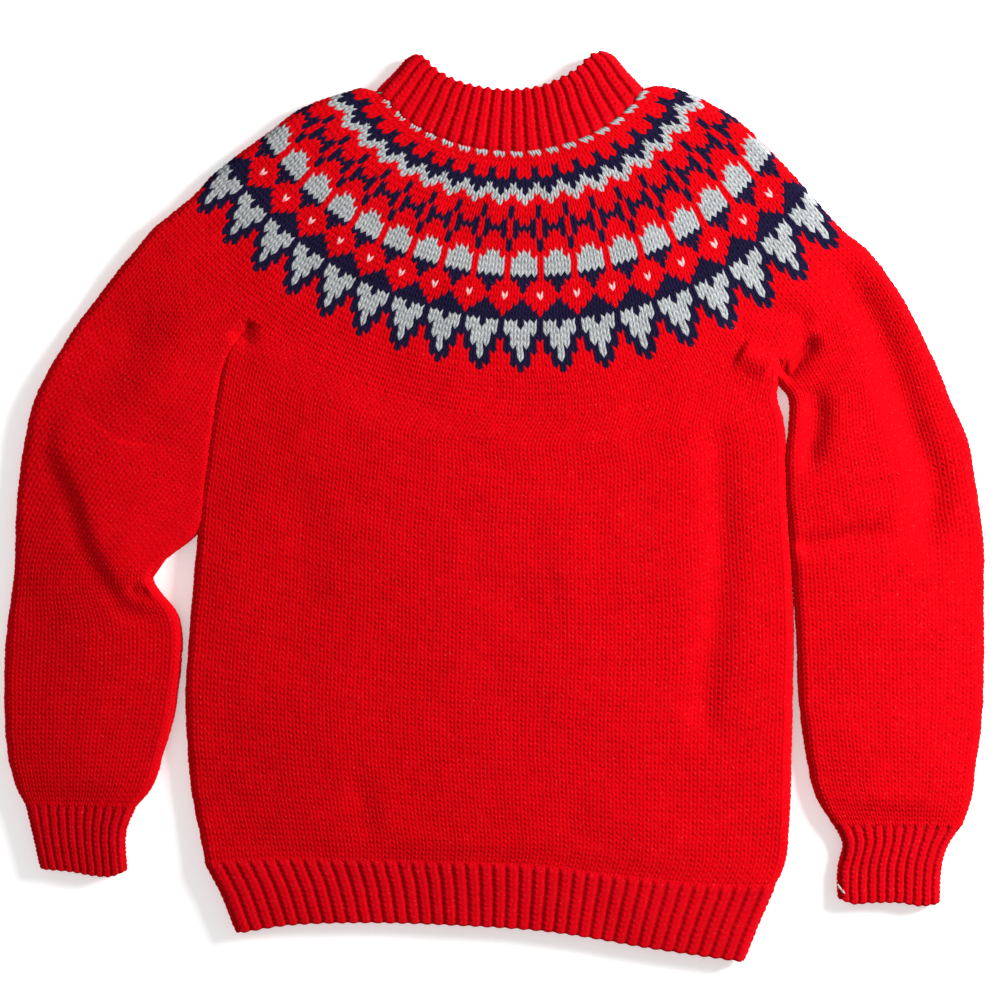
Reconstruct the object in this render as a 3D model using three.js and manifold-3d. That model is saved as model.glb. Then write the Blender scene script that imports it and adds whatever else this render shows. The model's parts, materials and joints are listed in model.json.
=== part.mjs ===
// A hand-knit pullover with a round yoke and a doubled mock-neck band, laid flat on its back.
// Millimetres. +X runs towards the wearer's left sleeve, +Y from hem to neck, +Z up from the table.
// The origin is the bottom centre of the whole garment's box, so the back lies on Z = 0.
import * as THREE from 'three';
import { mergeVertices } from 'three/addons/utils/BufferGeometryUtils.js';
import Module from 'manifold-3d';

// Overall sizes, laid flat
const laidWidth = 786;          // outside of one sleeve to outside of the other
const laidLength = 733;         // neckband tips to the lowest hem corner
const drawnWidth = 786;         // the width and length that the outline points below are drawn at
const drawnLength = 733;

// Fabric, from the outside in
const fabricWall = 4.5;         // one layer of stocking stitch
const fabricHollow = 9;         // room between front and back of the body, yoke and sleeves
const hemWall = 5;
const hemHollow = 10;
const cuffWall = 5.5;
const cuffHollow = 7;
const bandWall = 4;             // outer layer of the neckband
const facingWall = 3;           // the layer that is turned to the inside
const neckHollow = 5.4;
const foldRound = 5;            // rounding of the side folds

// Knitted-on lengths
const hemDepth = 50;
const cuffDepth = 60;
const yokeDrop = 211;           // neckband base to the round where body and sleeves join
const neckDrop = 82.4;          // centre of the yoke's rings to the neckband base
const ringSpread = 1.105;       // each ring is an ellipse this much wider than deep
const ringShoulder = 24;        // and wider again by this much at each side

// Clearances
const seamGap = 0.3;
const jointGap = 0.6;
const sideGap = 0.6;            // sleeve lying against the body

// How far a laid sleeve swings out, in degrees, and the slack past that before it would bind
const shoulderSwing = 40;
const elbowSwing = 25;
const swingSlack = 3;
const hiddenTurn = 20;          // of the swing's disc that stays inside the shoulder

// Loose end of yarn: its width, and its path from its root, as steps across, down the cuff and lower
const threadWidth = 1.8;
const threadPath = [[0, 0, 0], [-3, -4, -1], [-3, -9, -3], [1, -13, -4]];

// Fineness
const edgeStep = 24;
const circleSteps = 64;
const roundSteps = 2;
const threadSteps = 8;
const sharpest = 0.4;           // keeps the corners of a grown outline from running off
const samePoint = 0.5;          // points nearer than this are one
const leastRoom = 0.5;          // left between the roundings of the neckband's folds

const overrun = 40;             // open ends are drawn this far past where they are cut
const reach = 900;              // farther than any point of the garment

const red = 0xd20a1c;
const navy = 0x1a1730;
const grey = 0xb4b8b6;
const woolRoughness = 0.95;

const wasm = await Module();
wasm.setup();

// ---- plane outlines ----

const place = (x, y) => new THREE.Vector2(x * laidWidth / drawnWidth, y * laidLength / drawnLength);
const places = (pairs) => pairs.map(([x, y]) => place(x, y));
const polar = (angle, length) => new THREE.Vector2(Math.cos(angle), Math.sin(angle)).multiplyScalar(length);
const radians = THREE.MathUtils.degToRad;

// Evenly spaced points of a smooth curve through the given ones
function edge(points) {
  const curve = new THREE.SplineCurve(points);
  return curve.getSpacedPoints(Math.max(1, Math.round(curve.getLength() / edgeStep)));
}

// Moves a counter-clockwise outline outwards, or inwards for a negative distance
function grown(loop, distance) {
  return loop.map((point, i) => {
    const before = loop.at(i - 1);
    const after = loop[(i + 1) % loop.length];
    const first = point.clone().sub(before).normalize();
    const second = after.clone().sub(point).normalize();
    const mitre = new THREE.Vector2(first.y + second.y, -first.x - second.x);
    return point.clone().addScaledVector(mitre, distance / Math.max(sharpest, 1 + first.dot(second)));
  });
}

// Drops repeated points and makes the outline run counter-clockwise
function closed(points) {
  const loop = points.filter((point, i) => point.distanceTo(points.at(i - 1)) > samePoint);
  return THREE.ShapeUtils.isClockWise(loop) ? loop.reverse() : loop;
}

function ellipse(centre, across, along, from = 0, to = 2 * Math.PI) {
  const curve = new THREE.EllipseCurve(centre.x, centre.y, across, along, from, to, to < from);
  const points = curve.getPoints(Math.max(2, Math.round(circleSteps * Math.abs(to - from) / (2 * Math.PI))));
  return Math.abs(to - from) < 2 * Math.PI ? points : points.slice(1);
}

// ---- solids ----

function solidOf(geometry) {
  geometry.deleteAttribute('normal');
  geometry.deleteAttribute('uv');
  const merged = mergeVertices(geometry, 1e-4);
  return new wasm.Manifold(new wasm.Mesh({
    numProp: 3,
    vertProperties: new Float32Array(merged.attributes.position.array),
    triVerts: new Uint32Array(merged.index.array),
  }));
}

function prism(loop, low = -overrun, high = overrun * 2) {
  const geometry = new THREE.ExtrudeGeometry(new THREE.Shape(loop), { depth: high - low, bevelEnabled: false });
  return solidOf(geometry.translate(0, 0, low));
}

// A slab whose sides are rounded like a folded edge, inside the outline
function slab(loop, low, high, round = foldRound) {
  const geometry = new THREE.ExtrudeGeometry(new THREE.Shape(loop), {
    depth: high - low - 2 * round,
    bevelThickness: round,
    bevelSize: round,
    bevelOffset: -round,
    bevelSegments: roundSteps,
  });
  return solidOf(geometry.translate(0, 0, low + round));
}

// A flattened tube: a slab with a hollow that leaves one wall all round
function flatTube(loop, wall, hollow, low = 0) {
  const inside = prism(grown(loop, -wall), low + wall, low + wall + hollow);
  return slab(loop, low, low + hollow + 2 * wall).subtract(inside);
}

// ---- rings of the yoke ----

const ringCentre = place(14.4, 366.5);

function ring(drop, grow = 0) {
  const across = (drop * ringSpread + ringShoulder) * laidWidth / drawnWidth;
  return prism(ellipse(ringCentre, across + grow, drop * laidLength / drawnLength + grow));
}

// ---- the two swings of each sleeve ----
// A swing is a disc of fabric as wide as the sleeve, in a round cut of the piece above it.

function swing(outer, inner, turn, range, firstPoint) {
  const pivot = outer.clone().add(inner).multiplyScalar(0.5);
  const radius = outer.distanceTo(inner) / 2;
  const away = firstPoint.clone().sub(pivot);
  const tangent = Math.atan2(away.y, away.x) + turn * Math.acos(radius / away.length());
  const horn = tangent + turn * radians(range + swingSlack);
  const at = (angle, grow = 0) => pivot.clone().add(polar(angle, radius + grow));
  return { pivot, radius, tangent, horn, at, turn, inner, outer };
}

const disc = (joint, grow = 0) => prism(ellipse(joint.pivot, joint.radius + grow, joint.radius + grow));

function arc(joint, from, to) {
  return ellipse(joint.pivot, joint.radius, joint.radius, from, to);
}

// Everything that lies beyond a swing, from its outer side round to its inner side
function beyond(joint, gap) {
  const toInner = joint.inner.clone().sub(joint.pivot);
  const gapAngle = gap / joint.radius;
  let span = Math.atan2(toInner.y, toInner.x) - joint.tangent;
  while (span * joint.turn > 0) span -= joint.turn * 2 * Math.PI;
  while (span * joint.turn < -2 * Math.PI) span += joint.turn * 2 * Math.PI;
  const end = joint.tangent + span + joint.turn * gapAngle;
  const rim = ellipse(joint.pivot, reach, reach, joint.tangent, end);
  return prism(closed([joint.pivot.clone(), ...rim]));
}

// ---- outlines of the garment as it lies ----

const bodyRightEdge = places([
  [-206, -343], [-218, -310], [-231, -282], [-243, -222], [-247, -154], [-245, -114],
  [-237, -19], [-233, 22], [-223, 86], [-215, 132],
]);
const bodyLeftEdge = places([
  [199, -367], [210, -338], [225, -312], [235, -274], [239, -170], [240, -82],
  [235, 6], [233, 64], [226, 92], [225, 114],
]);
const rightShoulderEdge = places([[-236, 257], [-217, 273], [-190, 293], [-156, 319], [-125, 331], [-94, 334]]);
const leftShoulderEdge = places([[281, 220], [249, 256], [221, 286], [177, 322], [134, 338], [118, 336]]);

const hemEnd = places([
  [-300, -356], [-206, -343], [-155, -335], [-75, -334], [37, -340], [125, -354], [199, -366.5], [300, -384],
]);

// The inner edge of an upper sleeve lies along the body's edge, a little way off it
const beside = (points, turn) => points.map((point) => point.clone().add(new THREE.Vector2(turn * sideGap, 0)));

function sleeveOf(drawn) {
  const { turn } = drawn;
  const upperOuter = places(drawn.upperOuter);
  const lowerOuter = places(drawn.lowerOuter);
  const shoulder = swing(...places(drawn.shoulder), turn, shoulderSwing, upperOuter[0]);
  const elbow = swing(...places(drawn.elbow), turn, elbowSwing, lowerOuter[0]);
  const inwards = shoulder.outer.clone().sub(shoulder.inner)
    .rotateAround(new THREE.Vector2(), turn * Math.PI / 2);
  const hidden = shoulder.horn + turn * radians(hiddenTurn);
  const loop = closed([
    shoulder.inner.clone().add(inwards),
    shoulder.outer.clone().add(inwards),
    ...arc(shoulder, hidden, shoulder.tangent),
    ...edge([shoulder.at(shoulder.tangent), ...upperOuter, elbow.at(elbow.horn)]),
    ...arc(elbow, elbow.horn, elbow.tangent),
    ...edge([elbow.at(elbow.tangent), ...lowerOuter]),
    ...edge([...places(drawn.lowerInner), ...beside(drawn.bodySide, turn), shoulder.inner]),
  ]);
  return { loop, shoulder, elbow, cuffEnd: places(drawn.cuffEnd) };
}

// Points run down the outside of each sleeve and back up the inside
const rightSleeve = sleeveOf({
  turn: -1,
  shoulder: [[-274.6, 223.8], [-192.6, 141.8]],
  upperOuter: [[-305, 187], [-331, 152], [-359, 104], [-375, 58], [-380, 10]],
  elbow: [[-384.8, -62], [-269.6, -62]],
  lowerOuter: [[-391, -102], [-393, -154], [-390, -200], [-376, -240], [-368, -285], [-366, -330]],
  lowerInner: [[-298, -335], [-297, -290], [-296, -258], [-281, -236], [-269, -209],
    [-257, -166], [-251, -120], [-253, -92], [-275, -56], [-262, -36]],
  bodySide: bodyRightEdge.slice(-4),
  cuffEnd: [[-460, -281], [-365, -290], [-323, -295.5], [-296, -293], [-240, -286]],
});
const leftSleeve = sleeveOf({
  turn: 1,
  shoulder: [[309.9, 190.5], [230.1, 95.5]],
  upperOuter: [[345, 134], [367, 84], [380, 52]],
  elbow: [[393, -30], [247, -30]],
  lowerOuter: [[393, -110], [392, -170], [386, -225], [377, -257], [362, -275], [357, -316], [355, -355]],
  lowerInner: [[271, -360], [275, -315], [279, -275], [269, -255], [255, -234], [248, -190],
    [244, -130], [243, -82], [239, -30]],
  bodySide: bodyLeftEdge.slice(-4, -1),
  cuffEnd: [[250, -309], [276, -314.5], [301, -317.5], [325, -317], [342, -320], [357, -316], [440, -300]],
});

const neckRise = 352;           // the body's outline is carried over the neck, and cut there
const bodyLoop = closed([
  place(-197, -343 - overrun),
  place(190, -367 - overrun),
  ...edge(bodyLeftEdge),
  leftSleeve.shoulder.pivot,
  ...edge([leftSleeve.shoulder.at(leftSleeve.shoulder.horn), ...leftShoulderEdge]),
  place(98, neckRise),
  place(-76, neckRise),
  ...edge([rightSleeve.shoulder.at(rightSleeve.shoulder.horn), ...rightShoulderEdge]).reverse(),
  rightSleeve.shoulder.pivot,
  ...edge(bodyRightEdge).reverse(),
]);

// ---- body, hem and yoke ----

// What lies past a curved end line that runs across the garment, as far as the reach
function past(line, shift) {
  const moved = edge(line).map((point) => point.clone().add(new THREE.Vector2(0, shift)));
  const far = -reach;
  return prism(closed([...moved, new THREE.Vector2(moved.at(-1).x, far), new THREE.Vector2(moved[0].x, far)]));
}

const swings = disc(rightSleeve.shoulder, jointGap).add(disc(leftSleeve.shoulder, jointGap));
const plainTorso = flatTube(bodyLoop, fabricWall, fabricHollow).subtract(swings);
const ribbedTorso = flatTube(bodyLoop, hemWall, hemHollow).subtract(swings);
const joinDrop = neckDrop + yokeDrop;

const body = plainTorso.subtract(ring(joinDrop, seamGap)).subtract(past(hemEnd, hemDepth + seamGap));
const hemRib = ribbedTorso.intersect(past(hemEnd, hemDepth)).subtract(past(hemEnd, 0));
const yoke = plainTorso.intersect(ring(joinDrop)).subtract(ring(neckDrop, seamGap));

// ---- neckband and its facing ----

const bandTop = places([[-130, 430], [-62, 362.5], [-49, 352], [-20, 338], [4, 335], [25, 335.5],
  [43, 339], [68, 352], [87, 366.5], [150, 430]]);
const bandSides = closed(places([
  [-150, 282], [-94, 333.5], [-62, 362.5], [-20, 400], [50, 400], [87, 366.5], [118.5, 336.5], [172, 287],
  [172, 240], [-150, 240],
]));
const aboveBand = prism(closed([...edge(bandTop)]));

function bandTube(inset, wall, hollow) {
  const loop = grown(bandSides, -inset);
  const round = Math.min(foldRound, wall + hollow / 2 - leastRoom);
  const inside = prism(grown(loop, -wall), inset + wall, inset + wall + hollow);
  const tube = slab(loop, inset, inset + hollow + 2 * wall, round).subtract(inside);
  return tube.intersect(ring(neckDrop)).subtract(aboveBand);
}

const neckband = bandTube(0, bandWall, neckHollow + 2 * (facingWall + seamGap));
const facing = bandTube(bandWall + seamGap, facingWall, neckHollow);

// ---- sleeves and cuffs ----

const bodySpace = prism(grown(bodyLoop, seamGap));

function sleevePieces(sleeve) {
  const plain = flatTube(sleeve.loop, fabricWall, fabricHollow);
  const ribbed = flatTube(sleeve.loop, cuffWall, cuffHollow);
  const clearOfBody = beyond(sleeve.shoulder, 0).subtract(bodySpace);
  const arm = disc(sleeve.shoulder).add(clearOfBody);
  const aboveElbow = disc(sleeve.elbow, jointGap).add(beyond(sleeve.elbow, 0));
  const belowElbow = disc(sleeve.elbow).add(beyond(sleeve.elbow, jointGap));
  return {
    upper: plain.intersect(arm).subtract(aboveElbow),
    lower: plain.intersect(belowElbow).subtract(past(sleeve.cuffEnd, cuffDepth + seamGap)).subtract(bodySpace),
    cuff: ribbed.intersect(past(sleeve.cuffEnd, cuffDepth)).subtract(past(sleeve.cuffEnd, 0)),
  };
}

const right = sleevePieces(rightSleeve);
const left = sleevePieces(leftSleeve);

// ---- the loose end of yarn at the left cuff ----

function looseThread() {
  const root = place(274, -304);
  const height = cuffWall + cuffHollow / 2;
  const path = new THREE.CatmullRomCurve3(threadPath.map(([across, down, lower]) =>
    new THREE.Vector3(root.x + across, root.y + down, height + lower)));
  const section = new THREE.Shape().absarc(0, 0, threadWidth / 2, 0, 2 * Math.PI);
  const geometry = new THREE.ExtrudeGeometry(section, {
    extrudePath: path, steps: threadSteps, curveSegments: 4, bevelEnabled: false,
  });
  return solidOf(geometry).subtract(prism(grown(leftSleeve.loop, seamGap)));
}

// ---- the scene ----

const garment = new THREE.Group();

function add(name, solid, color) {
  const found = solid.getMesh();
  const geometry = new THREE.BufferGeometry();
  geometry.setAttribute('position', new THREE.Float32BufferAttribute(found.vertProperties, 3));
  geometry.setIndex(Array.from(found.triVerts));
  geometry.computeVertexNormals();
  const wool = new THREE.MeshStandardMaterial({ color, roughness: woolRoughness, metalness: 0 });
  const mesh = new THREE.Mesh(geometry, wool);
  mesh.name = name;
  garment.add(mesh);
}

add('body', body, red);
add('hem_rib', hemRib, red);
add('yoke', yoke, navy);
add('neckband', neckband, red);
add('neckband_facing', facing, red);
add('right_upper_sleeve', right.upper, red);
add('right_lower_sleeve', right.lower, red);
add('right_cuff', right.cuff, red);
add('left_upper_sleeve', left.upper, red);
add('left_lower_sleeve', left.lower, red);
add('left_cuff', left.cuff, red);
add('loose_thread', looseThread(), grey);

export default garment;
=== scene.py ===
# A hand-knit pullover with a round colourwork yoke, laid flat. Every stitch is real mesh.
import json
import math

import bpy
import numpy as np
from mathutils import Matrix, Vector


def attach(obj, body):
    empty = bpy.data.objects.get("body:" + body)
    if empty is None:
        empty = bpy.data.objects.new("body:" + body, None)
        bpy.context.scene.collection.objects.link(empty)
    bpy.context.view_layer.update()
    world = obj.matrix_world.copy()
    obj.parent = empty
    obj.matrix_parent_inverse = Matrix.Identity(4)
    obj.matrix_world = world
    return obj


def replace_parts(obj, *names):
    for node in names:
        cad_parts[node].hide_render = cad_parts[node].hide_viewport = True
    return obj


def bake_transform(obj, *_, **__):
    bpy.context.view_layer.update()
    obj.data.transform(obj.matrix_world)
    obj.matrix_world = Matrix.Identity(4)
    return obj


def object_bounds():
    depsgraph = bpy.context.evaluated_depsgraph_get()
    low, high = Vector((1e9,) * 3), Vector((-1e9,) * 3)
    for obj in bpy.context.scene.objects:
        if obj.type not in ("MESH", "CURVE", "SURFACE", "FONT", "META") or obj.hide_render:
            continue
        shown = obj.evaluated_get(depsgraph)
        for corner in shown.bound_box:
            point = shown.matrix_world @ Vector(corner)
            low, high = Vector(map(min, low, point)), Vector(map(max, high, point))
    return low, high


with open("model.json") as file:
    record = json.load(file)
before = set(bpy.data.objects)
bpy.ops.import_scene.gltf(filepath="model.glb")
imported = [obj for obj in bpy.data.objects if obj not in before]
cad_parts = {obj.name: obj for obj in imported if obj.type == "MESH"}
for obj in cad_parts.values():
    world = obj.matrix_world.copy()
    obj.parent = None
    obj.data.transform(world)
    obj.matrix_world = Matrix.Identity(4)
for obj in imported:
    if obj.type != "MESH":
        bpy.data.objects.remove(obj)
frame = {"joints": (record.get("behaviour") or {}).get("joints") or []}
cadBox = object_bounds()

mm = 0.001
drawn = {"width": 786.0, "length": 733.0}  # the size that the outlines below are drawn at, in mm
widthScale = (cadBox[1][0] - cadBox[0][0]) / (drawn["width"] * mm)
lengthScale = (cadBox[1][1] - cadBox[0][1]) / (drawn["length"] * mm)
layScale = np.array([widthScale, lengthScale])


def lay(points):
    # brings drawn points to the size of the frame
    return np.array(points, float) * layScale


def curveAt(points, u):
    # a smooth curve through the points, read at point number u
    pts = np.vstack([2 * points[0] - points[1], points, 2 * points[-1] - points[-2]])
    u = np.clip(u, 0, len(points) - 1)
    i = np.minimum(u.astype(int), len(points) - 2)
    s = (u - i)[..., None]
    a, b, c, d = pts[i], pts[i + 1], pts[i + 2], pts[i + 3]
    return 0.5 * (2 * b + (c - a) * s + (2 * a - 5 * b + 4 * c - d) * s**2 + (3 * b - a - 3 * c + d) * s**3)


def evenly(points):
    # turns a share of the length, 0 to 1, into a point number
    u = np.linspace(0, len(points) - 1, 40 * len(points))
    steps = np.linalg.norm(np.diff(curveAt(points, u), axis=0), axis=1)
    length = np.concatenate([[0], np.cumsum(steps)])
    return lambda t: np.interp(t, length / length[-1], u)


def onPastEnds(curve):
    # runs straight on before 0 and after 1
    nudge = 0.01

    def longer(t):
        t = np.asarray(t, float)
        inside = np.clip(t, 0, 1)
        step = np.where(t > 1, -nudge, nudge)
        slope = (curve(inside + step) - curve(inside)) / step[..., None]
        return curve(inside) + (t - inside)[..., None] * slope
    return longer


def smoothCurve(points):
    points = lay(points)
    number = evenly(points)
    return onPastEnds(lambda t: curveAt(points, number(t)))


def noise(x, y, size, seed):
    # smooth random heights from -1 to 1, a bump or a hollow about every size mm
    cells = 97
    table = np.random.default_rng(seed).uniform(-1, 1, (cells, cells))
    gx, gy = np.asarray(x) / size, np.asarray(y) / size
    ix, iy = np.floor(gx).astype(int), np.floor(gy).astype(int)
    fx, fy = gx - ix, gy - iy
    fx, fy = fx * fx * (3 - 2 * fx), fy * fy * (3 - 2 * fy)
    ix, iy, nextX, nextY = ix % cells, iy % cells, (ix + 1) % cells, (iy + 1) % cells
    low = table[ix, iy] * (1 - fx) + table[nextX, iy] * fx
    high = table[ix, nextY] * (1 - fx) + table[nextX, nextY] * fx
    return low * (1 - fy) + high * fy


def smooth(x):
    x = np.clip(x, 0, 1)
    return x * x * (3 - 2 * x)


# Folds in the laid fabric, raised or sunk along a line, in mm. A step makes one side of the line higher.
folds = [
    # the right sleeve's upper part lies over its lower part
    {"line": [[-331, 98], [-348, 84], [-355, 44], [-339, 11], [-322, -38], [-294, -78], [-273, -87],
              [-251, -95]],
     "sink": 2.2, "width": 8, "step": 5.5, "slope": 22, "reach": 60, "start": 2.2},
    {"line": [[-291, -62], [-284, -70], [-276, -66]], "sink": 3.0, "width": 6},
    {"line": [[-236, 178], [-268, 150], [-298, 122], [-322, 82]],
     "sink": 6.0, "width": 22, "start": 2, "finish": 2},
    {"line": [[-252, 205], [-280, 150], [-314, 92], [-330, 52]],
     "step": 9, "base": 0.5, "slope": 75, "reach": 75, "start": 2, "finish": 2},
    {"line": [[-207, 146], [-200, 136], [-197, 150]], "sink": 4.5, "width": 7},
    # the body
    {"line": [[-112, -200], [-104, -240], [-98, -284]],
     "sink": 1.6, "width": 11, "start": 3, "finish": 3},
    {"line": [[177, 86], [182, -42], [169, -154], [165, -202]], "sink": 4.0, "width": 14},
    {"line": [[-30, -40], [10, -70], [60, -60]], "sink": 1.4, "width": 20},
    {"line": [[-160, 40], [-150, -60], [-165, -150]], "sink": 1.6, "width": 20},
    # the left underarm: a pocket, with a puff beside it and a soft arc above
    {"line": [[228, 105], [238, 114], [248, 125], [260, 140]], "sink": 9.5, "width": 8, "finish": 3},
    {"line": [[196, 126], [210, 118], [224, 112]], "sink": -5.0, "width": 10},
    {"line": [[190, 138], [202, 152], [234, 156], [258, 146]], "sink": 3.0, "width": 8},
    # the left sleeve
    {"line": [[265, 202], [298, 160], [318, 114], [338, 53], [350, 19], [345, -26], [340, -54]],
     "sink": 8.0, "width": 15},
    {"line": [[254, 104], [259, 70], [247, 22]], "sink": 6.5, "width": 10, "start": 3, "finish": 3},
    {"line": [[237, -34], [272, -26], [306, -18], [328, -22]], "sink": 5.5, "width": 8, "finish": 2},
]


swells = [{"height": 1.3, "size": 75, "seed": 3}, {"height": 0.7, "size": 30, "seed": 4}]
foldEnds = 6  # a fold fades in over a sixth of its line at each end, unless it says otherwise


def fromLine(x, y, line):
    # distance to a line of points, which side of it, and how near its ends
    best = np.full(x.shape, 1e9)
    side = np.ones(x.shape)
    along = np.zeros(x.shape)
    total = len(line) - 1
    for i in range(total):
        a, b = line[i], line[i + 1]
        d = b - a
        t = np.clip(((x - a[0]) * d[0] + (y - a[1]) * d[1]) / (d @ d), 0, 1)
        px, py = x - a[0] - t * d[0], y - a[1] - t * d[1]
        far = np.hypot(px, py)
        near = far < best
        best = np.where(near, far, best)
        side = np.where(near, np.sign(d[0] * py - d[1] * px), side)
        along = np.where(near, (i + t) / total, along)
    return best, side, along


def relief(x, y):
    z = sum(swell["height"] * noise(x, y, swell["size"], swell["seed"]) for swell in swells)
    for fold in folds:
        line = smoothCurve(fold["line"])(np.linspace(0, 1, 3 * len(fold["line"])))
        far, side, along = fromLine(x, y, line)
        ends = (smooth(along * fold.get("start", foldEnds))
                * smooth((1 - along) * fold.get("finish", foldEnds)))
        if "sink" in fold:
            z = z - ends * fold["sink"] * np.exp(-(far / fold["width"]) ** 2)
        if "step" in fold:
            slope = smooth(0.5 + side * far / fold["slope"])
            z = z + ends * fold["step"] * (slope - fold.get("base", 0)) * np.exp(-(far / fold["reach"]) ** 2)
    return z


# one stitch, in mm unless it says otherwise
stitch = {
    "legSteps": 3,           # mesh steps across one leg of a stitch
    "rowSteps": 3,           # mesh steps up one row
    "rowHeight": 3.9,
    "puff": 1.1,             # how far a leg stands out
    "legRound": 0.6,         # powers that fill out a leg's section and its length
    "rowRound": 0.7,
    "uneven": 0.2,           # share by which one stitch stands out more or less than the next
    "wobble": 0.5,           # how far the hand knitting wanders
    "tuck": 0.9,             # rows that go on under the next piece
    "sink": 0.35,            # how far they go in
    "dip": 0.9,              # how far the last stitches' points go into the piece below
    "edgeDrop": 0.6,         # how much lower the last row of a finished end lies
    "knitShare": 0.8,        # of a rib's width
    "ribUp": 1.1,            # how far a rib's knit columns stand out, and its purl ones lie back
    "ribDown": 0.5,
    "ribLeg": 0.9,           # how far the legs and the bars stand out on those
    "ribBar": 0.4,
    "scallop": (0.08, 0.3),  # how far knit columns stand out at a lower and an upper finished end, in rows
    # painted shade in the knitting's crevices, as a lightness where 1 is on a leg: between the legs, at a knit
    # column's sides and in a purl one's middle, the most light a purl column keeps, and how much darker a rib
    # is between rows
    "crevice": 0.35,         # lightness between the legs, where 1 is on a leg
    "ribCrevice": 0.3,       # the same at the sides of a knit column, and in the middle of a purl one
    "purlLight": 0.35,
    "rowShade": 0.25,
}


def stadium(a, half, corner):
    # a point that goes once round a flattened tube: its place across, its height and its outward direction
    tiny = 1e-9
    straight = 2 * (half - corner)
    quarter = math.pi * corner / 2
    q = (a % 1) * (2 * straight + 4 * quarter)
    legs = [quarter, straight, 2 * quarter, straight, quarter]
    x, z, nx, nz = (np.zeros(np.broadcast(a, half).shape) for _ in range(4))
    start = 0 * half
    for kind, length in enumerate(legs):
        inside = (q >= start) & (q <= start + length + tiny)
        s = q - start
        if kind in (1, 3):
            sign = 1 if kind == 1 else -1
            values = (sign * (s - straight / 2), sign * corner + 0 * s, 0 * s, sign + 0 * s)
        else:
            turn = {0: math.pi, 2: math.pi / 2, 4: -math.pi / 2}[kind] - s / corner
            middle = (half - corner) * (1 if kind == 2 else -1)
            values = (middle + corner * np.cos(turn), corner * np.sin(turn), np.cos(turn), np.sin(turn))
        for array, value in zip((x, z, nx, nz), values):
            array[inside] = np.broadcast_to(value, array.shape)[inside]
        start = start + length
    return x, z, nx, nz


def middleLength(flat, low, high, steps):
    path = flat(np.full(steps, 0.5), np.linspace(low, high, steps))
    return float(np.linalg.norm(np.diff(path, axis=0), axis=1).sum())


def stitchGrid(rows, look, ends):
    # the lines of the outside's mesh, counted in rows, and its columns, counted in stitches
    rib, perStitch = look.get("rib", False), 2 * stitch["legSteps"]
    extra = 1 if ends[1] == "under" else 0  # a row that goes on under the next piece
    lead = 1 if ends[0] == "over" else 0    # a line that dips into the piece below
    column = np.arange(look["stitches"] * perStitch)
    line = (np.arange((rows + extra) * stitch["rowSteps"] + 1 + lead) - lead) / stitch["rowSteps"]
    number, within = column // perStitch, (column % perStitch) / perStitch
    knitted = number % 2 == 0 if rib else np.ones(len(column), bool)
    place = column / perStitch
    if rib:  # the knit columns close over the purl ones
        wide = stitch["knitShare"] * 2
        place = 2 * (number // 2) + np.where(knitted, within * wide, wide + within * (2 - wide))
    return {"rows": rows, "rib": rib, "perStitch": perStitch, "lead": lead, "line": line, "number": number,
            "within": within, "knitted": knitted, "place": place,
            "ends": list(zip(ends, (line, rows + extra - line)))}  # with the rows that are left to each end


def rowPlaces(grid, lean):
    # how far along the piece each point lies, in rows: the legs of the stitches lean both ways
    edgeFade, scallopFade = 0.9, 2  # rows over which the zigzag straightens, and the scallops begin
    rows, line, knitted, within = grid["rows"], grid["line"], grid["knitted"], grid["within"]
    row = np.minimum(line, rows) + np.maximum(line - rows, 0) * stitch["tuck"]
    fade = np.ones(len(line))
    for end, away in grid["ends"]:
        if end != "over":
            fade = fade * smooth(away / edgeFade)
    zigzag = lean * np.where(knitted, np.abs(2 * within - 1) - 0.5, 0.5)
    row = row[:, None] + zigzag[None, :] * fade[:, None]
    if grid["rib"]:
        bump = np.where(knitted, 2 * np.sin(math.pi * within) - 1, -1)
        lower, upper = stitch["scallop"]
        for (end, away), out in zip(grid["ends"], (-lower, upper)):
            if end == "edge":
                row = row + out * bump[None, :] * (1 - smooth(away / scallopFade))[:, None]
    return row


def standOut(grid, generator):
    # how far each point stands out, in mm, and how light its painted shade leaves it, up to 1 on a leg
    hideFrom, hideOver, dropOver = 0.3, 0.6, 0.8  # rows over which the ends go in
    rows, line, knitted, within = grid["rows"], grid["line"], grid["knitted"], grid["within"]
    rowNumber = np.clip(np.floor(line), 0, rows - 1).astype(int)[:, None]
    size = generator.uniform(1 - stitch["uneven"], 1 + stitch["uneven"], (rows, grid["number"][-1] + 1))
    size = size[rowNumber, grid["number"][None, :]]
    leg = np.sin(math.pi * ((2 * within) % 1)) ** stitch["legRound"]
    yarn = np.sin(math.pi * (line % 1))[:, None] ** stitch["rowRound"]
    if grid["rib"]:
        across = np.sin(math.pi * within) ** stitch["legRound"]
        column = np.where(knitted, stitch["ribUp"] * across, -stitch["ribDown"] * across)[None, :]
        small = np.where(knitted, stitch["ribLeg"] * leg, stitch["ribBar"] * across)[None, :] * yarn
        height = column + small * size
        # painted shade at a knit column's sides, over the purl columns and between rows
        sides, shade = stitch["ribCrevice"], stitch["rowShade"]
        deep = np.where(knitted, sides + (1 - sides) * across, stitch["purlLight"] * (1 - across))[None, :]
        deep = deep * (1 - shade + shade * yarn)
    else:
        height = stitch["puff"] * size * leg[None, :] * yarn
        # painted shade between the legs
        deep = stitch["crevice"] + (1 - stitch["crevice"]) * leg[None, :] * yarn
    for end, away in grid["ends"]:
        away = away[:, None]
        if end == "under":
            hidden = 1 - smooth((away - hideFrom) / hideOver)
            height = height * (1 - hidden) - stitch["sink"] * hidden
        if end == "edge":
            height = height - stitch["edgeDrop"] * (1 - smooth(away / dropOver))
        if end == "over":
            height = np.where(away < 0, -stitch["dip"], height)
    return height, deep


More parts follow.
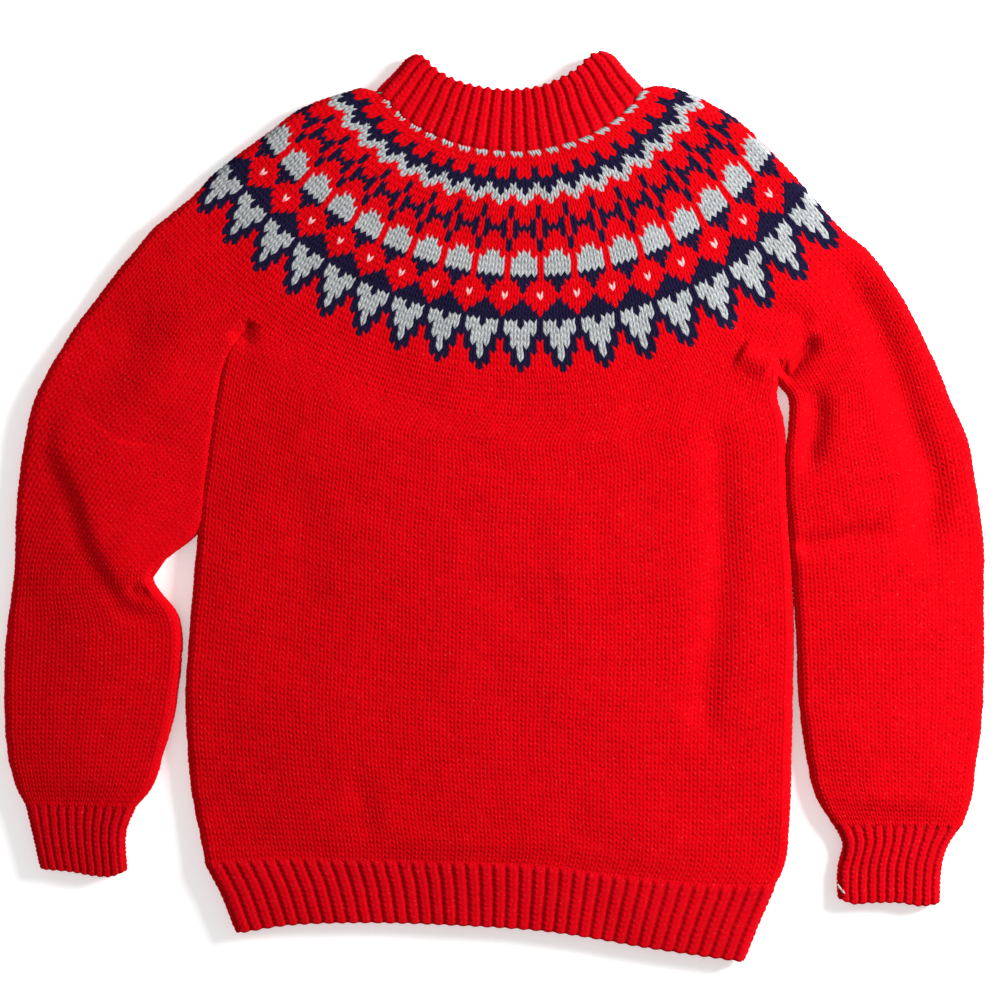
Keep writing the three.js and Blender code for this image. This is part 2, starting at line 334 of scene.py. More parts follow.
def closedTube(lines, loops, columns):
    # the faces of the outside, the rims and the inside, and their map: outer rows fill most of it
    outside, inside, last, faceShare = (0.0, 0.93), (0.935, 0.99), 0.995, 0.98
    j, i = np.meshgrid(np.arange(loops), np.arange(columns), indexing="ij")
    j2, i2 = (j + 1) % loops, (i + 1) % columns
    faces = np.stack([j * columns + i, j2 * columns + i, j2 * columns + i2, j * columns + i2], -1)
    edges = np.concatenate([np.linspace(*outside, lines), np.linspace(*inside, loops - lines), [last]])
    u0, u1 = i / columns, (i + faceShare) / columns
    v0, v1 = edges[j], edges[j + 1]
    uv = np.stack([np.stack(corner, -1) for corner in ((u0, v0), (u0, v1), (u1, v1), (u1, v0))], 2)
    return j, i, faces.reshape(-1, 4), uv.reshape(-1, 2)


def knitShell(flat, rows, look, chart=None, span=(0.0, 1.0), ends=("edge", "edge"), twist=None, lift=None):
    # flat(f, t) is the laid fabric: f from its left fold to its right one, t from its lower end to its upper.
    # An end is an "edge", "over" the next piece with its stitches' points, or "under" the next piece.
    grid = stitchGrid(rows, look, ends)
    place, columns, lines = grid["place"], len(grid["place"]), len(grid["line"])
    t = span[0] + (span[1] - span[0]) * rowPlaces(grid, look.get("lean", 1.0)) / rows
    a = np.broadcast_to(((place - 0.5) / look["stitches"])[None, :], t.shape)
    if twist is not None:
        a = a + twist(np.clip(t, 0, 1))

    # half the laid width at each t
    margin, measured = 0.02, (60, 41)
    marks = np.linspace(span[0] - margin, span[1] + margin, measured[0])
    f = np.linspace(0, 1, measured[1])
    ruled = flat(np.broadcast_to(f, measured), np.broadcast_to(marks[:, None], measured))
    widths = np.linalg.norm(np.diff(ruled, axis=1), axis=2).sum(1) / 2

    def acrossTube(a, half):
        narrowest = 0.9  # a side fold takes up no more than this share of half the width
        return stadium(a, half, np.minimum(look["corner"], half * narrowest))

    def laid(f, t, z, nx, nz, out):
        # a point of the laid fabric, brought to its height, and out from the fabric
        nudge, tiny, sideShare = 0.01, 1e-9, 0.2
        at = flat(f, t)
        ahead = flat(np.clip(f + nudge, 0, 1), t) - flat(np.clip(f - nudge, 0, 1), t)
        ahead = ahead / np.maximum(np.linalg.norm(ahead, axis=-1, keepdims=True), tiny)
        flatAt = at + ahead * (nx * out)[..., None]
        front = smooth(nz + sideShare)
        up = look["middle"] + z + nz * out + front * relief(at[..., 0], at[..., 1])
        if lift is not None:
            up = up + front * lift(f, t)
        return np.stack([flatAt[..., 0], flatAt[..., 1], up], -1)

    generator = np.random.default_rng(look["seed"])
    height, deep = standOut(grid, generator)
    half = np.interp(t, marks, widths)
    x, z, nx, nz = acrossTube(a, half)
    wander = {"across": 3, "along": 320, "size": 7, "seed": 50}
    wobble = stitch["wobble"] * noise(place[None, :] * wander["across"] + 0 * t, t * wander["along"],
                                      wander["size"], wander["seed"])
    loops = [laid(np.clip((x + wobble) / half / 2 + 0.5, 0, 1), t, z, nx, nz, height)]

    # the inside: a few loops, a wall's thickness in, coloured in a dark painted shade
    fewest, rowsEach, clear, insideShade = 3, 8, 0.2, 0.2
    for mark in np.linspace(t[-1].mean(), t[0].mean(), max(fewest, rows // rowsEach)):
        level = np.full((1, columns), mark)
        half = np.interp(level, marks, widths)
        x, z, nx, nz = acrossTube(a[:1], half)
        loops.append(laid((x / half + 1) / 2, level, z, nx, nz, np.full((1, columns), -look["wall"])))
    points = np.concatenate(loops)
    points[..., 2] = np.maximum(points[..., 2], clear)  # clear of the table

    j, i, faces, uv = closedTube(lines, len(points), columns)
    soft = (j != lines - 1) & (j != len(points) - 1)  # the rims stay crisp
    faceRow = np.clip((j - grid["lead"]) // stitch["rowSteps"], 0, rows - 1)
    faceStitch = i // grid["perStitch"]
    tone = generator.uniform(-1, 1, (rows, look["stitches"]))[faceRow, faceStitch]
    yarnOf = np.zeros(j.shape, int) if chart is None else chart(faceRow, faceStitch)
    # the inside takes a dark painted shade
    deepAll = np.concatenate([np.broadcast_to(deep, (lines, columns)),
                              np.full((len(points) - lines, columns), insideShade)])
    return {"points": points.reshape(-1, 3), "faces": faces, "uv": uv, "soft": soft.reshape(-1),
            "yarn": yarnOf.reshape(-1), "tone": tone.reshape(-1), "deep": deepAll.reshape(-1),
            "long": middleLength(flat, *span, measured[0]), "round": float(widths.max() * 4),
            "meanRound": float(widths.mean() * 4)}


def makePiece(name, shells, materials):
    offset = 0
    faces = []
    for shell in shells:
        faces.append(shell["faces"] + offset)
        offset += len(shell["points"])
    points = np.concatenate([s["points"] for s in shells]) * mm
    faces = np.concatenate(faces)
    mesh = bpy.data.meshes.new(name)
    mesh.vertices.add(len(points))
    mesh.vertices.foreach_set("co", points.astype(np.float32).ravel())
    mesh.loops.add(faces.size)
    mesh.loops.foreach_set("vertex_index", faces.astype(np.int32).ravel())
    mesh.polygons.add(len(faces))
    mesh.polygons.foreach_set("loop_start", np.arange(0, faces.size, 4, dtype=np.int32))
    mesh.polygons.foreach_set("material_index", np.concatenate([s["yarn"] for s in shells]).astype(np.int32))
    mesh.polygons.foreach_set("use_smooth", np.concatenate([s["soft"] for s in shells]))
    mesh.uv_layers.new(name="UVMap")
    uvs = []
    for n, s in enumerate(shells):  # each shell has its own strip of the map
        part = s["uv"].copy()
        part[:, 1] = (n + part[:, 1]) / len(shells)
        uvs.append(part)
    mesh.uv_layers[0].data.foreach_set("uv", np.concatenate(uvs).astype(np.float32).ravel())
    tone = mesh.attributes.new("tone", "FLOAT", "FACE")
    tone.data.foreach_set("value", np.concatenate([s["tone"] for s in shells]).astype(np.float32))
    deep = mesh.attributes.new("deep", "FLOAT", "POINT")
    deep.data.foreach_set("value", np.concatenate([s["deep"] for s in shells]).astype(np.float32))
    for material in materials:
        mesh.materials.append(material)
    mesh.update()
    mesh.validate()
    obj = bpy.data.objects.new(name, mesh)
    bpy.context.scene.collection.objects.link(obj)
    print(name, "has", len(points), "points and", len(faces), "faces")
    return obj


class Value:
    # wraps a socket, so that shader maths reads as arithmetic
    def __init__(self, tree, socket):
        self.tree, self.socket = tree, socket

    def maths(self, operation, *others):
        node = self.tree.nodes.new("ShaderNodeMath")
        node.operation = operation
        for place, item in zip(node.inputs, (self, *others)):
            link(self.tree, place, item)
        return Value(self.tree, node.outputs[0])

    def __add__(self, other):
        return self.maths("ADD", other)

    def __mul__(self, other):
        return self.maths("MULTIPLY", other)

    def __sub__(self, other):
        return self.maths("SUBTRACT", other)

    def __rsub__(self, other):
        return (self * -1) + other

    __radd__ = __add__
    __rmul__ = __mul__


def link(tree, place, item):
    if isinstance(item, Value):
        tree.links.new(item.socket, place)
    else:
        place.default_value = item


class Shader:
    def __init__(self, name):
        self.material = bpy.data.materials.new(name)
        self.material.use_nodes = True
        self.tree = self.material.node_tree
        self.tree.nodes.clear()

    def node(self, kind, settings=None, output=0, **sockets):
        made = self.tree.nodes.new("ShaderNode" + kind)
        for key, value in (settings or {}).items():
            setattr(made, key, value)
        for key, item in sockets.items():
            wanted = key.replace("_", " ").lower()
            place = next(s for s in made.inputs if s.enabled and s.name.lower() == wanted)
            link(self.tree, place, item)
        return Value(self.tree, made.outputs[output])


# deep is the colour of the painted shade between the legs of a stitch, full the one on them, and heather how
# mottled the yarn is; the third colour is that of the painted highlight specks on stray fibres, and the
# sheen's tint
yarns = {
    "red": {"deep": (0.34, 0.0, 0.002), "full": (0.66, 0.0, 0.004), "highlightTint": (0.85, 0.05, 0.06),
            "heather": 0.5},
    # the ribbing's colours: the same red yarn, painted darker as painted shade
    "rib": {"deep": (0.33, 0.0, 0.002), "full": (0.53, 0.0, 0.005), "highlightTint": (0.80, 0.06, 0.07),
            "heather": 0.5},
    "navy": {"deep": (0.004, 0.003, 0.010), "full": (0.011, 0.008, 0.034), "highlightTint": (0.03, 0.03, 0.07),
             "heather": 0.9},
    "grey": {"deep": (0.12, 0.12, 0.12), "full": (0.42, 0.44, 0.45), "highlightTint": (0.60, 0.62, 0.64),
             "heather": 1.5},
    "pale": {"deep": (0.45, 0.12, 0.12), "full": (0.9, 0.50, 0.50), "highlightTint": (1.0, 0.8, 0.8),
             "heather": 0.5},
    "thread": {"deep": (0.35, 0.30, 0.27), "full": (0.75, 0.70, 0.66), "highlightTint": (0.9, 0.88, 0.85),
               "heather": 0.5},
}
# what all the wool shares: noise scales, each one's share in the colour, among them the painted shade between
# the legs and the painted highlight specks, and the surface
spun = {"fibreScale": 900.0, "patchScale": 60.0, "highlightScale": 650.0, "deepShare": 0.8, "toneShare": 0.07,
        "patchShare": 0.35, "lighter": 0.12, "highlightsFrom": 0.63, "highlightsSharp": 5.0, "bump": 0.4,
        "bumpDepth": 0.0006, "roughness": 0.95, "specular": 0.04, "sheen": 0.15, "sheenRoughness": 0.5}


def finished(shader, surface):
    # ends a material with its surface
    out = shader.tree.nodes.new("ShaderNodeOutputMaterial")
    shader.tree.links.new(surface.socket, out.inputs["Surface"])
    print("material", shader.material.name)
    return shader.material


def yarnMaterial(name):
    look = yarns[name]
    s = Shader(name + "Wool")
    place = s.node("TexCoord", output=3)
    fibre = s.node("TexNoise", Vector=place, Scale=spun["fibreScale"], Detail=4.0, Roughness=0.7)
    patches = s.node("TexNoise", Vector=place, Scale=spun["patchScale"], Detail=3.0)
    # painted highlights: bright specks on stray fibres where this noise is high
    highlightSpecks = s.node("TexNoise", Vector=place, Scale=spun["highlightScale"], Detail=2.0, Roughness=0.8)
    tone = s.node("Attribute", {"attribute_name": "tone"}, output=2)
    deep = s.node("Attribute", {"attribute_name": "deep"}, output=2)
    # the painted shade between the legs, with random tone and mottle, sets how far the colour goes from deep
    # to full
    light = (deep * spun["deepShare"] + tone * spun["toneShare"] + (fibre - 0.5) * look["heather"]
             + (patches - 0.5) * spun["patchShare"] + spun["lighter"])
    colour = s.node("Mix", {"data_type": "RGBA"}, output=2, Factor=light, A=(*look["deep"], 1),
                    B=(*look["full"], 1))
    # mixes the painted highlight specks into the colour
    colour = s.node("Mix", {"data_type": "RGBA"}, output=2, A=colour, B=(*look["highlightTint"], 1),
                    Factor=(highlightSpecks - spun["highlightsFrom"]) * spun["highlightsSharp"])
    bump = s.node("Bump", Strength=spun["bump"], Distance=spun["bumpDepth"], Height=fibre)
    surface = s.node("BsdfPrincipled", Base_Color=colour, Roughness=spun["roughness"], Normal=bump,
                     Specular_IOR_Level=spun["specular"], Sheen_Weight=spun["sheen"],
                     Sheen_Roughness=spun["sheenRoughness"], Sheen_Tint=(*look["highlightTint"], 1))
    return finished(s, surface)


wool = {name: yarnMaterial(name) for name in yarns}

# The yoke is knitted in rings, which are laid as ellipses round a centre above the neck.
# Drops are measured down the front from that centre, in mm, and angles from straight down.
rings = {
    "centre": (14.4, 366.0),
    "spread": 1.105,              # a ring is this much wider than deep
    "shoulder": 24.0,             # and wider again by this much at each side
    "neck": 80.4,                 # drops of the neckband's base and of the joining round
    "join": 293.0,
    "slant": 14.0,                # the joining round's drop differs by this much at each side
    "slantAngle": 38,
    "underarms": (-38.8, 36.5),   # angles, in degrees
}
yoke = {"repeats": 36, "corner": 7.2, "middle": 8.8, "wall": 3.8, "lean": 0.75, "seed": 20}
yokeEdges = {"left": [[-94, 333], [-106, 336], [-125, 331], [-156, 319], [-180, 301], [-205, 283],
                      [-226, 266], [-244, 247], [-279, 219], [-300, 194], [-318, 170]],
             "right": [[118, 336], [134, 338], [157, 332], [177, 322], [201, 306], [237, 270], [253, 252],
                       [269, 234], [281, 221], [299, 207], [313.6, 189], [330, 165], [340, 148]]}


def onRing(angle, drop):
    across = rings["spread"] * drop + rings["shoulder"]
    x = rings["centre"][0] + across * np.sin(angle)
    y = rings["centre"][1] - drop * np.cos(angle)
    return np.stack([x * widthScale, y * lengthScale], -1)


def edgeOnRings(points):
    # the drop and angle at which a shoulder edge crosses the rings
    nearest, farthest, trials, looks = 50, 460, 4000, 60
    trial = np.linspace(nearest, farthest, trials)
    across = rings["spread"] * trial + rings["shoulder"]
    drops, angles = [], []
    for x, y in curveAt(np.array(points, float), np.linspace(0, len(points) - 1, looks)):
        dx, dy = x - rings["centre"][0], rings["centre"][1] - y
        best = trial[np.argmin(np.abs((dx / across) ** 2 + (dy / trial) ** 2 - 1))]
        drops.append(best)
        angles.append(math.atan2(dx / (rings["spread"] * best + rings["shoulder"]), dy / best))
    order = np.argsort(drops)
    return np.array(drops)[order], np.array(angles)[order]


yokeLeft, yokeRight = edgeOnRings(yokeEdges["left"]), edgeOnRings(yokeEdges["right"])


def slanted(t, angle):
    # the drop at t, from 0 at the joining round to 1 at the neck
    join = rings["join"] + rings["slant"] * np.clip(np.degrees(angle) / rings["slantAngle"], -1, 1)
    return rings["neck"] + (1 - t) * (join - rings["neck"])


def edgeAngle(t, edge):
    angle = np.interp(slanted(t, 0 * t), *edge)
    for _ in range(4):
        angle = np.interp(slanted(t, angle), *edge)
    return angle


def evenAngle(f, low, high, drop):
    # stitches are evenly spaced along the ring, which is an ellipse
    wide = rings["spread"] * drop + rings["shoulder"]
    mean, spread = (wide + drop) / 2, (wide - drop) / 4
    first, last = (mean * angle + spread * np.sin(2 * angle) for angle in (low, high))
    wanted = first + f * (last - first)
    angle = wanted / mean
    for _ in range(3):
        off = mean * angle + spread * np.sin(2 * angle) - wanted
        angle = angle - off / (mean + 2 * spread * np.cos(2 * angle))
    return angle


def yokeFlat(f, t):
    f, t = np.broadcast_arrays(np.asarray(f, float), np.asarray(t, float))
    angle = evenAngle(f, edgeAngle(t, yokeLeft), edgeAngle(t, yokeRight), slanted(t, 0 * t))
    return onRing(angle, slanted(t, angle))


def joinCurve(lowAngle, highAngle):
    def curve(f):
        angle = lowAngle + np.asarray(f, float) * (highAngle - lowAngle)
        return onRing(angle, slanted(0.0, angle))
    return curve


underarms = np.radians(rings["underarms"])
shoulders = [float(edgeAngle(np.zeros(1), edge)[0]) for edge in (yokeLeft, yokeRight)]

# The chart, in rows from the neck outwards: R red, N navy, G grey, W pale. A row is one repeat.
# The drop is where a band ends.
bands = [
    {"drop": 106.5, "rows": ["GGR", "RRR", "RRR", "NRR", "NRR", "NNN"]},
    {"drop": 124.0, "rows": ["GNNN", "GGNG", "RGGG", "RRGR"]},
    {"drop": 161.0, "rows": ["NRRRR", "NRRRR", "RNRRN", "RNNNN", "RNRRN", "NRRRR", "NRRRR"]},
    {"drop": 189.5, "rows": ["RRGGR", "RGGGG", "RGGGG", "RGGGG", "RNNNN", "RRNNR"]},
    {"drop": 216.5, "rows": ["RRRNRR", "WRRRRR", "RRRNRR", "RRNNNR", "RNNNNN", "NNNNNN"]},
    {"drop": 258.0, "rows": ["NGGNGG", "NGGGGG", "NNGGGN", "RNGGGN", "RNNGNN", "RRNGNR", "RRNNNR", "RRRNRR"]},
    {"drop": 293.0, "rows": ["RRRRRRR"] * 8},
]
yarnNumber = {"R": 0, "N": 1, "G": 2, "W": 3}


def charted(table):
    # which yarn a stitch is knitted in
    return lambda row, column: table[row, column % table.shape[1]]


def yokeShells():
    shells = []
    start = 1.0
    for n, band in enumerate(bands):
        end = (rings["join"] - band["drop"]) / (rings["join"] - rings["neck"])
        table = np.array([[yarnNumber[letter] for letter in row] for row in band["rows"][::-1]])
        look = {**yoke, "stitches": yoke["repeats"] * table.shape[1], "seed": yoke["seed"] + n}
        shells.append(knitShell(yokeFlat, len(table), look, chart=charted(table), span=(end, start),
                                ends=("over", "edge" if n == 0 else "under")))
        start = end
    return shells


def coons(left, right, bottom, top):
    # a patch between four curves; each runs 0 to 1 upwards or left to right
    def flat(f, t):
        f1, t1 = f[..., None], t[..., None]
        ruled = (1 - f1) * left(t) + f1 * right(t) + (1 - t1) * bottom(f) + t1 * top(f)
        zero, one = np.zeros(1), np.ones(1)
        corners = ((1 - f1) * (1 - t1) * bottom(zero) + f1 * (1 - t1) * bottom(one)
                   + (1 - f1) * t1 * top(zero) + f1 * t1 * top(one))
        return ruled - corners
    return flat


bodyJoin = joinCurve(*underarms)
leftUnderarm, rightUnderarm = bodyJoin(np.array([0.0, 1.0])) / layScale

body = {
    "stitches": 160, "corner": 7.2, "middle": 8.8, "wall": 3.8, "seed": 1, "bulge": 2.2,
    "left": [[-231, -286], [-243, -222], [-247, -154], [-245, -114], [-237, -19], [-233, 22], [-223, 86],
             [-214, 128], leftUnderarm],
    "right": [[224, -306], [235, -274], [239, -170], [240, -82], [235, 6], [233, 62], [227, 88], [229, 102],
              rightUnderarm],
    "bottom": [[-231, -286], [-155, -283.6], [5, -287.6], [53, -290.8], [85, -295.6], [165, -304.4],
               [224, -306]],
}
hem = {
    "stitches": 172, "corner": 7.2, "middle": 9.4, "wall": 3.8, "seed": 2, "rib": True, "lean": 0.7,
    "left": [[-206, -341], [-218, -310], [-231, -286]],
    "right": [[200, -364], [210, -338], [224, -306]],
    "bottom": [[-206, -341], [-155, -334], [-75, -333], [37, -339], [125, -353], [200, -364]],
}
neckband = {
    "stitches": 92, "corner": 7.4, "middle": 9.2, "wall": 2.8, "seed": 3, "rib": True, "lean": 0.7,
    "span": (-0.05, 1.0), "tucked": 2.6, "tuckedTo": 0.16,
    "left": [[-94, 333.5], [-79, 348.5], [-69, 359.5], [-62, 363.5]],
    "right": [[118.5, 336.5], [105, 350], [96, 361], [88, 366]],
    "top": [[-62, 363.5], [-55, 360], [-48, 352.5], [-36, 345], [-20, 339], [4, 335], [25, 335.5],
            [43, 339.5], [64, 350], [78, 362.5], [88, 366]],
}
facing = {"stitches": 92, "corner": 4.4, "middle": 9.6, "wall": 2.0, "seed": 4, "rib": True, "lean": 0.7,
          "span": (0.02, 0.97)}
sleeveKnit = {"corner": 7.2, "middle": 8.8, "wall": 3.8, "seed": 5, "bulge": 3.6}
cuffKnit = {"corner": 6.2, "middle": 9.0, "wall": 3.5, "seed": 6, "rib": True, "lean": 0.7}
# split is the upper part's share of the rows, and twist how far round the stitches turn towards the yoke
sleeves = {
    "right": {
        "stitches": 46, "ribs": 24, "split": 0.36, "twist": 0.24,
        "outer": [[-279, 218], [-313, 176], [-345, 131], [-371, 78], [-382.4, 6], [-384.5, -52], [-391, -102],
                  [-392.5, -154], [-390, -196], [-384, -222], [-376, -238]],
        "inner": [leftUnderarm + [0.5, -3], [-216, 104], [-223, 62], [-229, 21], [-236, -18], [-274, -54],
                  [-252, -92], [-255, -154], [-265, -194], [-274, -222], [-288, -241]],
        "cuff": {"left": [[-363, -290], [-370, -258], [-375, -237]],
                 "right": [[-296, -292], [-297, -262], [-289, -240]],
                 "bottom": [[-363, -290], [-340, -292], [-323, -295], [-308, -296], [-296, -292]],
                 "top": [[-375, -237], [-332, -231], [-289, -240]]},
    },
    "left": {
        "stitches": 50, "ribs": 24, "split": 0.33, "twist": 0.0,
        "outer": [[313.6, 189], [330, 164], [352, 120], [367, 84], [380, 52], [387.5, 10], [392.5, -34],
                  [392.8, -90], [392.5, -150], [390.4, -178], [387, -202], [383, -232], [375, -256]],
        "inner": [rightUnderarm + [-2, -5], [225.5, 98], [236.5, 81], [235, 44], [234.5, 14], [237, -15],
                  [239, -42], [242.5, -90], [245, -150], [247.5, -174], [251.5, -200], [258, -230],
                  [272, -254]],
        "cuff": {"left": [[277, -314], [277, -290], [281, -270], [273, -253]],
                 "right": [[356.5, -318], [358, -290], [363, -272], [374, -255]],
                 "bottom": [[277, -314], [289, -318], [301, -317], [325, -317], [341, -319.5], [356.5, -318]],
                 "top": [[273, -253], [322, -246], [374, -255]]},
    },
}


def sleeveFlat(sleeve, join, side):
    # t is 0 at the cuff and 1 at the joining round, which is bowed
    bowFrom, bowOver = 0.72, 0.28
    edges = [lay(sleeve["outer"][::-1]), lay(sleeve["inner"][::-1])]
    number = evenly((edges[0] + edges[1]) / 2)
    outer, inner = (onPastEnds(lambda t, edge=edge: curveAt(edge, number(t))) for edge in edges)
    left, right = (inner, outer) if side == "left" else (outer, inner)

    def flat(f, t):
        f, t = np.broadcast_arrays(np.asarray(f, float), np.asarray(t, float))
        f1 = f[..., None]
        ruled = left(t) * (1 - f1) + right(t) * f1
        one = np.ones(1)
        bow = join(f) - (left(one) * (1 - f1) + right(one) * f1)
        return ruled + bow * smooth((t - bowFrom) / bowOver)[..., None]
    return flat


def rowsFor(flat):
    return max(2, round(middleLength(flat, 0, 1, 100) / stitch["rowHeight"]))


def bulge(height):
    # the fabric stands a little higher along its middle, and is level where it joins the yoke
    crown, topFade, bottomFade = 1.3, 0.25, 0.06
    return lambda f, t: (height * np.sin(math.pi * np.clip(f, 0, 1)) ** crown
                         * smooth((1 - t) / topFade) * smooth(t / bottomFade))


def twisted(turn):
    twistFrom, twistOver = 0.42, 0.5
    return lambda t: turn * smooth((t - twistFrom) / twistOver)


pieces = {}
shellsOf = {}


def knit(key, name, shells, *yarnNames):
    shellsOf[key] = shells
    pieces[key] = makePiece(name, shells, [wool[yarnName] for yarnName in yarnNames])


bodyFlat = coons(*(smoothCurve(body[side]) for side in ("left", "right", "bottom")), bodyJoin)
knit("body", "body_knit", [knitShell(bodyFlat, rowsFor(bodyFlat), body, ends=("over", "under"),
                                     lift=bulge(body["bulge"]))], "red")

hemFlat = coons(*(smoothCurve(hem[side]) for side in ("left", "right", "bottom")),
                smoothCurve(body["bottom"]))
knit("hem", "hem_rib_knit", [knitShell(hemFlat, rowsFor(hemFlat), hem, ends=("edge", "under"))], "rib")

knit("yoke", "yoke_knit", yokeShells(), "red", "navy", "grey", "pale")


def neckBase(f):
    return yokeFlat(f, 1 + 0 * np.asarray(f, float))


def tuckedBase(f, t):
    # the band's base lies under the yoke's last round
    return -neckband["tucked"] * (1 - smooth((t - neckband["span"][0]) / neckband["tuckedTo"]))


bandFlat = coons(smoothCurve(neckband["left"]), smoothCurve(neckband["right"]), neckBase,
                 smoothCurve(neckband["top"]))
bandRows = rowsFor(bandFlat)
knit("band", "neckband_knit", [knitShell(bandFlat, bandRows, neckband, span=neckband["span"],
                                         lift=tuckedBase)], "rib")
knit("facing", "neckband_facing_knit", [knitShell(bandFlat, bandRows, facing, span=facing["span"])], "rib")

for side, sleeve in sleeves.items():
    join = joinCurve(underarms[1], shoulders[1]) if side == "left" else joinCurve(shoulders[0], underarms[0])
    flat = sleeveFlat(sleeve, join, side)
    rows = rowsFor(flat)
    lowerRows = round(rows * (1 - sleeve["split"]))
    cut = lowerRows / rows
    look = {**sleeveKnit, "stitches": sleeve["stitches"]}
    for part, count, span in (("upper", rows - lowerRows, (cut, 1)), ("lower", lowerRows, (0, cut))):
        shell = knitShell(flat, count, look, span=span, ends=("over", "under"),
                          twist=twisted(sleeve["twist"]), lift=bulge(sleeveKnit["bulge"]))
        knit(side + part, f"{side}_{part}_sleeve_knit", [shell], "red")
    cuffFlat = coons(*(smoothCurve(sleeve["cuff"][edge]) for edge in ("left", "right", "bottom", "top")))
    cuff = {**cuffKnit, "stitches": 2 * sleeve["ribs"]}
    knit(side + "cuff", f"{side}_cuff_knit", [knitShell(cuffFlat, rowsFor(cuffFlat), cuff,
                                                        ends=("edge", "under"))], "rib")


# the loose end of yarn at the left cuff: a twisted two-ply thread, in mm
thread = {"path": [[275, -301.5, 16.5], [276.5, -304, 17.6], [279, -307, 17.4], [281, -309, 16.6]],
          "thickness": 1.5, "ply": 0.25, "twist": 9, "steps": 24, "around": 10, "taper": 2, "tip": 0.35}


def threadMesh():
    steps, around, path = thread["steps"], thread["around"], np.array(thread["path"], float)
    along = curveAt(path, np.linspace(0, len(path) - 1, steps))
    ahead = np.gradient(along, axis=0)
    ahead /= np.linalg.norm(ahead, axis=1, keepdims=True)
    aside = np.cross(ahead, [0, 0, 1.0])
    aside /= np.linalg.norm(aside, axis=1, keepdims=True)
    above = np.cross(aside, ahead)
    angle = np.linspace(0, 2 * math.pi, around, endpoint=False)
    turn = np.linspace(0, thread["twist"], steps)[:, None]
    ply = 1 + thread["ply"] * np.cos(2 * (angle[None, :] - turn))
    fromEnd = np.minimum(np.arange(steps), np.arange(steps)[::-1])
    taper = np.clip(fromEnd / thread["taper"] + thread["tip"], 0, 1)[:, None]
    radius = thread["thickness"] / 2 * ply * taper
    points = (along[:, None] + (radius * np.cos(angle))[..., None] * aside[:, None]
              + (radius * np.sin(angle))[..., None] * above[:, None])
    points[..., :2] *= layScale
    faces = [(r * around + k, r * around + (k + 1) % around, (r + 1) * around + (k + 1) % around,
              (r + 1) * around + k) for r in range(steps - 1) for k in range(around)]
    faces += [tuple(range(around))[::-1], tuple((steps - 1) * around + k for k in range(around))]
    mesh = bpy.data.meshes.new("loose_thread")
    mesh.from_pydata([tuple(p * mm) for p in points.reshape(-1, 3)], [], faces)
    mesh.materials.append(wool["thread"])
    mesh.polygons.foreach_set("use_smooth", [True] * len(mesh.polygons))
    obj = bpy.data.objects.new("loose_thread_ply", mesh)
    bpy.context.scene.collection.objects.link(obj)
    print("loose_thread_ply has", len(mesh.vertices), "points")
    return obj


pieces["thread"] = threadMesh()

# straight above the garment, with its front just filling the view
view = {"place": (0.0048, 0.006, 2.2402), "lens": 100, "sensor": 36, "clipEnd": 20}
camera = bpy.data.objects.new("camera", bpy.data.cameras.new("camera"))
camera.data.lens = view["lens"]
camera.data.sensor_width = view["sensor"]
camera.data.clip_end = view["clipEnd"]
camera.location = view["place"]
bpy.context.scene.collection.objects.link(camera)
bpy.context.scene.camera = camera

lamps = [
    {"name": "key", "place": (1.3, 0.5, 0.85), "size": 0.6, "power": 53},
    {"name": "fill", "place": (-1.4, 0.2, 2.3), "size": 2.2, "power": 4},
]
for lamp in lamps:
    data = bpy.data.lights.new(lamp["name"], "AREA")
    data.size, data.energy = lamp["size"], lamp["power"]
    obj = bpy.data.objects.new(lamp["name"], data)
    obj.location = lamp["place"]
    direction = -np.array(lamp["place"])  # each lamp points at the origin
    obj.rotation_euler = (math.acos(-direction[2] / np.linalg.norm(direction)), 0,
                          math.atan2(direction[1], direction[0]) - math.pi / 2)
    bpy.context.scene.collection.objects.link(obj)

studio = {"sky": 0.44, "floorSize": 12, "paper": 0.95, "paperRoughness": 0.9, "paperGlow": 0.35}

world = bpy.data.worlds.new("studio")
world.use_nodes = True
sky = world.node_tree.nodes["Background"].inputs
sky["Color"].default_value = (1, 1, 1, 1)
sky["Strength"].default_value = studio["sky"]
bpy.context.scene.world = world
bpy.context.scene.view_settings.view_transform = "Standard"

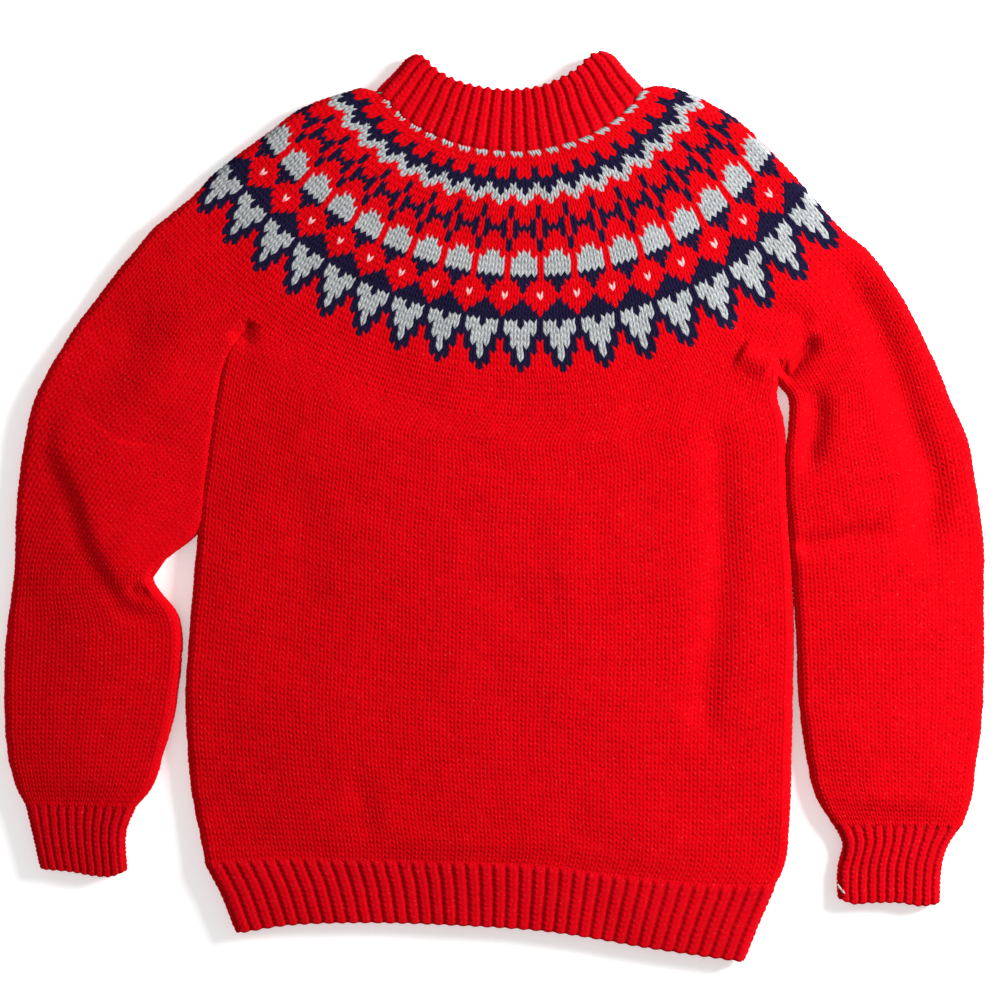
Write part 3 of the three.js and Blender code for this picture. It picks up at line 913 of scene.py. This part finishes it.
floorMesh = bpy.data.meshes.new("floor")
far = studio["floorSize"]
floorMesh.from_pydata([(-far, -far, 0), (far, -far, 0), (far, far, 0), (-far, far, 0)], [], [(0, 1, 2, 3)])
floor = bpy.data.objects.new("floor", floorMesh)
bpy.context.scene.collection.objects.link(floor)
paper = Shader("paper")
paperSurface = paper.node("BsdfPrincipled", Base_Color=(*[studio["paper"]] * 3, 1),
                          Roughness=studio["paperRoughness"], Emission_Color=(1, 1, 1, 1),
                          Emission_Strength=studio["paperGlow"])
floorMesh.materials.append(finished(paper, paperSurface))
print("camera,", len(lamps), "lamps and the floor are in place")

# what each piece rides on and stands for, and the name of its finish
stands = [
    ("body", "torso", ["body"], "red_stocking_stitch"),
    ("hem", "torso", ["hem_rib"], "red_rib"),
    ("yoke", "torso", ["yoke"], "colourwork"),
    ("band", "torso", ["neckband"], "red_rib"),
    ("facing", "torso", ["neckband_facing"], "red_rib"),
    ("rightcuff", "right_lower_arm", ["right_cuff"], "red_rib"),
    ("leftcuff", "left_lower_arm", ["left_cuff"], "red_rib"),
    ("thread", "left_lower_arm", ["loose_thread"], "pale_yarn"),
]
for key, body, nodes, slot in stands:
    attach(pieces[key], body)
    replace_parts(pieces[key], *nodes)

# Each sleeve piece has its placing baked into its mesh. Away is the way a sleeve runs from its shoulder, and
# the lengths, in metres, set points past the shoulder joint and about the elbow joint.
turning = {"right": {"away": (-0.7071, -0.7071)}, "left": {"away": (0.6428, -0.7660)}, "shoulder": 0.09,
           "elbow": 0.035}
joints = {joint["name"]: np.array(joint["pos_m"]) for joint in frame["joints"]}
for side in sleeves:
    shoulder, elbow = joints[side + "_shoulder_swing"], joints[side + "_elbow_swing"]
    end = shoulder + np.array([*turning[side]["away"], 0]) * turning["shoulder"]
    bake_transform(pieces[side + "upper"], "torso", side + "_upper_arm", start=tuple(shoulder), end=tuple(end))
    bend = np.array([0, turning["elbow"], 0])
    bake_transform(pieces[side + "lower"], side + "_upper_arm", side + "_lower_arm",
             start=tuple(elbow + bend), end=tuple(elbow - bend))
    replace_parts(pieces[side + "upper"], side + "_upper_sleeve")
    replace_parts(pieces[side + "lower"], side + "_lower_sleeve")
    pieces[side + "upper"]
    pieces[side + "lower"]
print(len(pieces), "pieces ride on their bodies")

# Each tube's widest round, the length of its middle and its area are printed. Each tube
# is a sheet as wide as its widest round and as long as its middle.
for key, shells in shellsOf.items():
    width = max(shell["round"] for shell in shells) * mm
    length = sum(shell["long"] for shell in shells) * mm
    area = sum(shell["meanRound"] * shell["long"] for shell in shells) * mm * mm
    max(area, 0.31 * width * length)
    print("sheet", key, round(width, 3), round(length, 3), round(area, 4))
